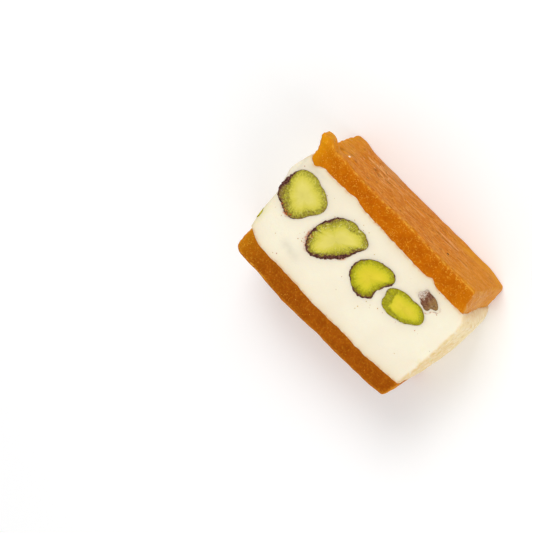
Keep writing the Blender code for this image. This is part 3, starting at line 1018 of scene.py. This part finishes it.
def make_paste_material():
    look = Finish("apricot_paste", 0.42, 0.03, 0.2, (1.0, 0.38, 0.08), 1.0)
    mark, mottle, streaks, hairs = look.mark, look.mottle, look.streaks, look.hairs
    lay, times, plus, remap = look.lay, look.times, look.plus, look.remap
    moulded, yellow_tone_and_glow, ridge, scratched = mark("moulded"), mark("yellow_tone_and_glow"), mark("ridge"), mark("scratched")

    patches = mottle(1.8, 5.0, 0.32, 0.68)
    grain = mottle(0.5, 5.0, 0.50, 0.70)
    # A mottled yellow band along the front edge: partly grains, partly painted highlight
    ridge_grain_and_highlight = times(mottle(1.3, 6.0, 0.45, 0.58), remap(ridge, 0.1, 0.8, 0.0, 0.45))
    worms = times(hairs(0.8, 0.06, 0.50), mark("grainy"), remap(ridge, 0.0, 0.4, 0.55, 1.0))
    cut = lay(
        "BA5C00", ("C86A02", patches),
        # The thin layer's cut face in darker colours: painted shade
        (lay("964804", ("A45408", patches)), mark("thin_layer_shade")),
        # Yellower at the ends: partly painted glow of light through the thin paste
        ("DE920A", yellow_tone_and_glow),
        ("DC8A14", grain, 0.3),
        ("E29A26", ridge_grain_and_highlight),
        ("F0AC34", worms, 0.85),
        ("DE8E18", mark("edge_glow"), 0.2),
    )

    broad_streaks = streaks(2.2, 0.9, 0.32, 0.70)
    worn = mottle(2.6, 3.0, 0.42, 0.60)
    drawn = times(streaks(1.9, 0.5, 0.50, 0.68), worn)
    dull = times(streaks(1.9, 0.5, 0.46, 0.30), plus(times(worn, 0.6), 0.3))
    light = hairs(0.9, 0.06, 0.46, 4.5)
    shade = hairs(1.0, 0.06, 0.46, 4.5, 40.0)
    skin = lay(
        "C66A0E", ("DA882A", broad_streaks),
        ("C8700C", mottle(3.0, 6.0, 0.40, 0.62), 0.7),
        ("DE9A40", mottle(0.8, 4.0, 0.50, 0.68), 0.6),
        ("A0560E", mottle(1.0, 4.0, 0.42, 0.28), 0.75),
        ("E8A85C", drawn, 0.6),
        ("A85C14", dull, 0.5),
        # Yellower at the ends: partly painted glow of light through the thin paste
        ("DC921A", yellow_tone_and_glow),
        ("EEBA78", light, scratched),
        ("965012", shade, scratched),
        # Raised lines laid lighter, painted highlight; scratches laid darker, painted shade
        ("EEB878", mark("raised_highlight"), 0.75),
        ("94500E", mark("groove"), 0.8),
    )

    parts = look.split(look.place)
    crosswise = look.joined(parts["Y"], parts["Z"], parts["X"])
    strokes = times(hairs(0.6, 0.06, 0.54, 2.6, place=crosswise), mark("stroked"))
    colour = lay(
        cut, (skin, moulded),
        ("DE9428", ridge_grain_and_highlight, moulded),
        # A bright broken line on the crest of the front edge: painted highlight
        ("EEB040", remap(ridge, 0.55, 0.85), remap(ridge_grain_and_highlight, 0.1, 0.45), 0.5),
        (lay("CE7A0E", ("DC921C", patches)), mark("end_face"), 0.85),
        ("D09254", mark("film"), remap(broad_streaks, 0.0, 1.0, 0.35, 0.9)),
        ("E6BC82", strokes, 0.6),
    )
    upper_side = look.calc("GREATER_THAN", parts["Y"], 0.0)
    flattened = look.joined(parts["X"], upper_side, parts["Z"])
    for middle, radius, code in (((-18.0, 1.0, 16.0), 0.22, "F4ECD8"), ((10.3, 1.0, 15.4), 0.27, "1E2810")):
        gap = look.add("VectorMath", {"operation": "DISTANCE"}, {0: flattened, 1: middle}).outputs["Value"]
        colour = lay(colour, (code, remap(gap, radius * 1.3, radius * 0.8), moulded))

    look.tree.links.new(plus(times(moulded, 0.15), 0.40), look.shader.inputs["Roughness"])
    scratches = times(look.calc("SUBTRACT", times(light, 0.4), times(shade, 0.5)), scratched, moulded)
    lines = times(look.calc("SUBTRACT", drawn, dull), moulded)
    relief = plus(times(grain, 0.5), scratches, lines, times(plus(worms, strokes), 0.4))
    return look.finished(colour, relief, 0.10, 0.9)


def make_nut_material():
    look = Finish("pistachio", 0.48, 0.12, 0.10, (1.0, 0.9, 0.25), 0.6)
    mark, lay, times, plus, remap = look.mark, look.lay, look.times, look.plus, look.remap
    edge = mark("kernel_depth")
    inward = times(edge, 0.35)
    spoke = look.joined(plus(mark("rim_x"), inward), mark("rim_y"), inward)
    fine = look.noise(look.place, 2.6, 5.0, 0.8)
    spokes = look.noise(spoke, 2.6, 4.0, 0.75)
    fibres = look.noise(spoke, 4.2, 5.0, 0.75)
    near_edge = times(remap(edge, 0.6, 2.2, 1.0, 0.25), remap(mark("vivid"), 0.0, 1.0, 1.0, 0.6))
    shift = plus(remap(fine, 0.30, 0.70, -0.75, 0.75), remap(spokes, 0.28, 0.72, -0.5, 0.5))
    depth = look.calc("DIVIDE", plus(edge, times(shift, near_edge), 0.6), 3.8, True)
    pale = look.ramp(depth, (
        (0.0, "7C5E30"), (0.10, "98803A"), (0.15, "A39434"), (0.20, "A89C2E"), (0.28, "B0A830"),
        (0.40, "C0B83C"), (0.51, "D4C948"), (0.67, "E2D656"), (1.0, "EEE174"),
    ))
    vivid = look.ramp(depth, (
        (0.0, "644E20"), (0.10, "88721A"), (0.15, "968812"), (0.20, "9E9410"), (0.28, "A8A412"),
        (0.36, "B8B216"), (0.47, "CEC622"), (0.63, "E0D22C"), (1.0, "EEDA38"),
    ))
    skin = look.ramp(fibres, (
        (0.32, "30140E"), (0.44, "4A221A"), (0.54, "663A30"), (0.62, "8A6254"), (0.74, "B89484"),
    ))
    colour = lay(
        pale, (vivid, mark("vivid")),
        ("E8DC90", look.hairs(0.8, 0.05, 0.50), near_edge, mark("stringy"), 0.8),
        ("6E6420", look.hairs(0.7, 0.04, 0.46, shift=30.0), remap(edge, 0.3, 1.5, 1.0, 0.0), 0.5),
        (skin, mark("skin")),
    )
    return look.finished(colour, plus(fibres, times(fine, near_edge)), 0.22, 0.8)


def make_skin_material():
    """Papery brown skin over a chip of nut, with a pale film at one side and an olive one at the other."""
    look = Finish("pistachio_skin", 0.6, 0.4, 0.1, (1.0, 0.6, 0.4), 0.6)
    fibres = look.noise(look.place, 2.2, 5.0, 0.7)
    drift = look.remap(fibres, 0.3, 0.7, -0.8, 0.8)
    spread = look.remap(look.plus(look.split(look.place)["X"], drift), 12.0, 17.0)
    colour = look.lay(
        look.ramp(spread, (
            (0.0, "DCCFC2"), (0.18, "C2AA94"), (0.27, "7A4426"), (0.50, "66361A"), (0.64, "84562C"),
            (0.9, "946E36"),
        )),
        ("4A2A1C", look.mark("skin"), look.remap(fibres, 0.4, 0.6), 0.8),
        ("AC8C6C", look.mottle(0.35, 4.0, 0.48, 0.68), 0.5),
        ("3A1E10", look.hairs(0.7, 0.05, 0.55), 0.75),
    )
    return look.finished(colour, fibres, 0.15, 0.8)


def make_crumb_material(name, code, other, roughness):
    """A small piece's colour with a little variation from place to place."""
    look = Finish(name, roughness, 0.1, 0.0, (1.0, 0.5, 0.2), 0.5)
    return look.finished(look.lay(code, (other, look.mottle(1.1, 1.0, 0.4, 0.6))))


# Scattered grains, made with geometry nodes

def make_grain_tree():
    """Small grains scattered on the faces of a mesh, set in by part of their size."""
    nodes, start = new_group(
        "scattered_grains", ("Geometry", "Geometry"), "GeometryNodeTree", Geometry="Geometry", Density=1e6,
        Seed=1, Smallest=0.1 * MM, Largest=0.2 * MM, Length=2.0, Material="Material",
    )
    add = nodes.add
    share = add("GeometryNodeInputNamedAttribute", {"data_type": "FLOAT"}, {"Name": "grain_share"})
    density = nodes.times(share.outputs["Attribute"], start["Density"])
    spread = add("GeometryNodeDistributePointsOnFaces", (), {
        "Mesh": start["Geometry"], "Density": density, "Seed": start["Seed"],
    }).outputs
    grain = add("GeometryNodeMeshIcoSphere", (), {"Radius": 0.5, "Subdivisions": 1})
    size = add("FunctionNodeRandomValue", {"data_type": "FLOAT"}, {
        2: start["Smallest"], 3: start["Largest"], "Seed": start["Seed"],
    }).outputs[1]
    turn = add("FunctionNodeRandomValue", {"data_type": "FLOAT_VECTOR"}, {1: (0.4, 0.4, 2.0 * math.pi)})
    placed = add("GeometryNodeInstanceOnPoints", (), {
        "Points": spread["Points"], "Rotation": spread["Rotation"], "Instance": grain.outputs["Mesh"],
        "Scale": nodes.joined(nodes.times(size, start["Length"]), size, size),
    })
    turned = add("GeometryNodeRotateInstances", (), {
        "Instances": placed.outputs["Instances"], "Rotation": turn.outputs[0],
    })
    real = add("GeometryNodeRealizeInstances", (), {"Geometry": turned.outputs["Instances"]})
    return nodes.close(add("GeometryNodeSetMaterial", (), {
        "Geometry": real.outputs["Geometry"], "Material": start["Material"],
    }).outputs["Geometry"])


def scatter(name, tree, base, share, **settings):
    """Scatters grains over a copy of a mesh and returns them as one plain mesh."""
    carrier = show("carrier", base.data.copy())
    write_mark(carrier.data, "grain_share", share)
    modifier = carrier.modifiers.new("grains", "NODES")
    modifier.node_group = tree
    inputs = [item for item in tree.interface.items_tree if item.in_out == "INPUT"]
    identifiers = {item.name: item.identifier for item in inputs}
    for key, value in settings.items():
        modifier[identifiers[key]] = value
    bpy.context.view_layer.update()
    made = carrier.evaluated_get(bpy.context.evaluated_depsgraph_get())
    mesh = bpy.data.meshes.new_from_object(made)
    mesh.name = name
    bpy.data.objects.remove(carrier)
    return show(name, mesh)


def scatter_fruit_grains(tree, slabs, material):
    """Grains on the cut faces of the paste, more along the thick layer's edge and the thin one's left."""
    made = []
    for seed, (name, slab) in enumerate(slabs.items()):
        points, normals = own_points(slab)
        x, y, z = points.T
        share = facing(normals, 2, 0.5) * ease(0.0, 0.5, rough(points, 1.6, 3, 51 + seed)) + 0.1
        if name == "fruit_grains_thin":
            share = share * (0.25 + np.exp(-(x + 21.6) / 3.5))
        else:
            share = share + 0.8 * np.exp(-np.hypot(z - DEPTH, y - 14.9) / 0.5)
        made.append(scatter(
            name, tree, slab, share * ease(0.15, 0.5, z), Density=2.0 / MM**2, Seed=11 + seed,
            Smallest=0.05 * MM, Largest=0.14 * MM, Length=2.6, Material=material,
        ))
    return made


def scatter_nut_crumbs(tree, nougat, material):
    """Crumbs of nut on the shown face of the nougat, near the nuts and in a few dirty places."""
    points, normals = own_points(nougat)
    x, y = points[:, 0], points[:, 1]
    share = 0.05 + 0.6 * near_nuts(points, normals, 1.2) + 4.0 * blots(x, y, DIRTY_PLACES)
    share *= ease(0.9, 0.99, normals[:, 2])
    for nut in SHOWN_NUTS.values():
        share *= ease(0.15, 0.4, nut_distance(nut, x, y))
    return scatter(
        "nut_crumbs", tree, nougat, share, Density=0.25 / MM**2, Seed=5, Smallest=0.08 * MM,
        Largest=0.22 * MM, Length=1.5, Material=material,
    )


def scatter_fruit_crumbs(tree, nuts, material):
    """Crumbs of fruit on the rims of two nuts."""
    made = []
    for seed, (nut, places) in enumerate(FRUIT_CRUMBS.items()):
        points, normals = own_points(nuts[nut])
        share = blots(points[:, 0], points[:, 1], places) * ease(0.6, 0.9, normals[:, 2])
        made.append(scatter(
            "fruit_crumbs_" + str(seed + 1), tree, nuts[nut], share, Density=9.0 / MM**2, Seed=8 + seed,
            Smallest=0.10 * MM, Largest=0.26 * MM, Length=1.4, Material=material,
        ))
    return made


# The bar

def give(piece, slot, *nodes):
    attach(piece, "root")
    if nodes:
        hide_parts(*nodes)


def make_bar():
    paste, pistachio, papery = make_paste_material(), make_nut_material(), make_skin_material()
    nougat = nougat_mesh("nougat_block", make_nougat_material())
    thick = paste_mesh(
        "apricot_slab_thick", THICK, (upper_seam, upper_face), (upper_left, upper_right), 101, paste
    )
    thin = paste_mesh(
        "apricot_slab_thin", THIN, (lower_face, lower_seam), (lower_left, lower_right), 201, paste
    )
    nuts = {}
    for face in CUT_FACES:
        for number, (name, nut) in enumerate(face.nuts.items()):
            steps, material = (CHIP_STEPS, papery) if name == CHIP else (face.steps, pistachio)
            nuts[name] = nut_mesh(name + "_cut", nut, face, steps, face.seed + 60 * number, material)
    end_nut = end_nut_mesh("pistachio_end_cut", pistachio)

    tree = make_grain_tree()
    bright = make_crumb_material("fruit_grain", "DE8C20", "EAA23C", 0.35)
    tan = make_crumb_material("nut_crumb", "CDAE4E", "B4622C", 0.6)
    orange = make_crumb_material("fruit_crumb", "CC6420", "DE9A48", 0.5)
    grains = scatter_fruit_grains(tree, {"fruit_grains_thick": thick, "fruit_grains_thin": thin}, bright)
    nut_crumbs = scatter_nut_crumbs(tree, nougat, tan)
    fruit_crumbs = scatter_fruit_crumbs(tree, nuts, orange)

    give(nougat, "nougat", "nougat")
    give(thick, "apricot_paste", "apricot_layer_upper")
    give(thin, "apricot_paste", "apricot_layer_lower")
    for name, piece in nuts.items():
        give(piece, "pistachio_skin" if name == CHIP else "pistachio", name)
    give(end_nut, "pistachio", "pistachio_end")
    for piece in grains:
        give(piece, "apricot_paste")
    give(nut_crumbs, "pistachio")
    for piece in fruit_crumbs:
        give(piece, "apricot_paste")


# Stage, lights and camera, in metres

def make_table():
    """A plain white floor just under the bar."""
    mesh = bpy.data.meshes.new("table")
    reach, top = 1.5, -0.02 * MM
    corners = ((-reach, -reach), (reach, -reach), (reach, reach), (-reach, reach))
    mesh.from_pydata([(x, y, top) for x, y in corners], [], [(0, 1, 2, 3)])
    table = show("table", mesh)
    white = bpy.data.materials.new("table_white")
    white.use_nodes = True
    shader = white.node_tree.nodes["Principled BSDF"]
    shader.inputs["Base Color"].default_value = (0.98, 0.98, 0.98, 1.0)
    shader.inputs["Roughness"].default_value = 0.8
    shader.inputs["Specular IOR Level"].default_value = 0.1
    shader.inputs["Emission Color"].default_value = (1.0, 1.0, 1.0, 1.0)
    shader.inputs["Emission Strength"].default_value = 0.05
    mesh.materials.append(white)


def make_light(name, place, size, power):
    """A soft square light that faces the bar."""
    data = bpy.data.lights.new(name, "AREA")
    data.size = size
    data.energy = power
    lamp = show(name, data)
    lamp.location = place
    lamp.rotation_euler = (Vector((0.0, 0.0, 0.01)) - Vector(place)).to_track_quat("-Z", "Y").to_euler()


def make_world():
    world = bpy.data.worlds.new("studio")
    world.use_nodes = True
    sky = world.node_tree.nodes["Background"]
    sky.inputs["Color"].default_value = (1.0, 1.0, 1.0, 1.0)
    sky.inputs["Strength"].default_value = 0.58
    bpy.context.scene.world = world


def make_camera():
    """Looks down on the bar, turned so that it lies across the picture as in the photograph."""
    right = Vector((0.68256855, 0.65872165, -0.31652166))
    up = Vector((-0.71610776, 0.68931283, -0.10971557))
    back = Vector((0.14591042, 0.30155201, 0.94221894))
    place = Vector((52.69 + SHIFT[0], 124.88 + SHIFT[1], 450.97)) * MM
    data = bpy.data.cameras.new("camera")
    data.lens = 150.0
    data.sensor_width = 36.0
    data.clip_start, data.clip_end = 0.01, 10.0
    camera = show("camera", data)
    turned = Matrix((right, up, back)).transposed().to_4x4()
    camera.matrix_world = Matrix.Translation(place) @ turned
    bpy.context.scene.camera = camera


make_bar()
make_table()
make_world()
make_light("key", (-0.25, 0.35, 0.55), 0.35, 2.0)
make_light("fill", (0.45, -0.10, 0.35), 0.5, 1.0)
make_camera()
bpy.context.scene.view_settings.view_transform = "Standard"
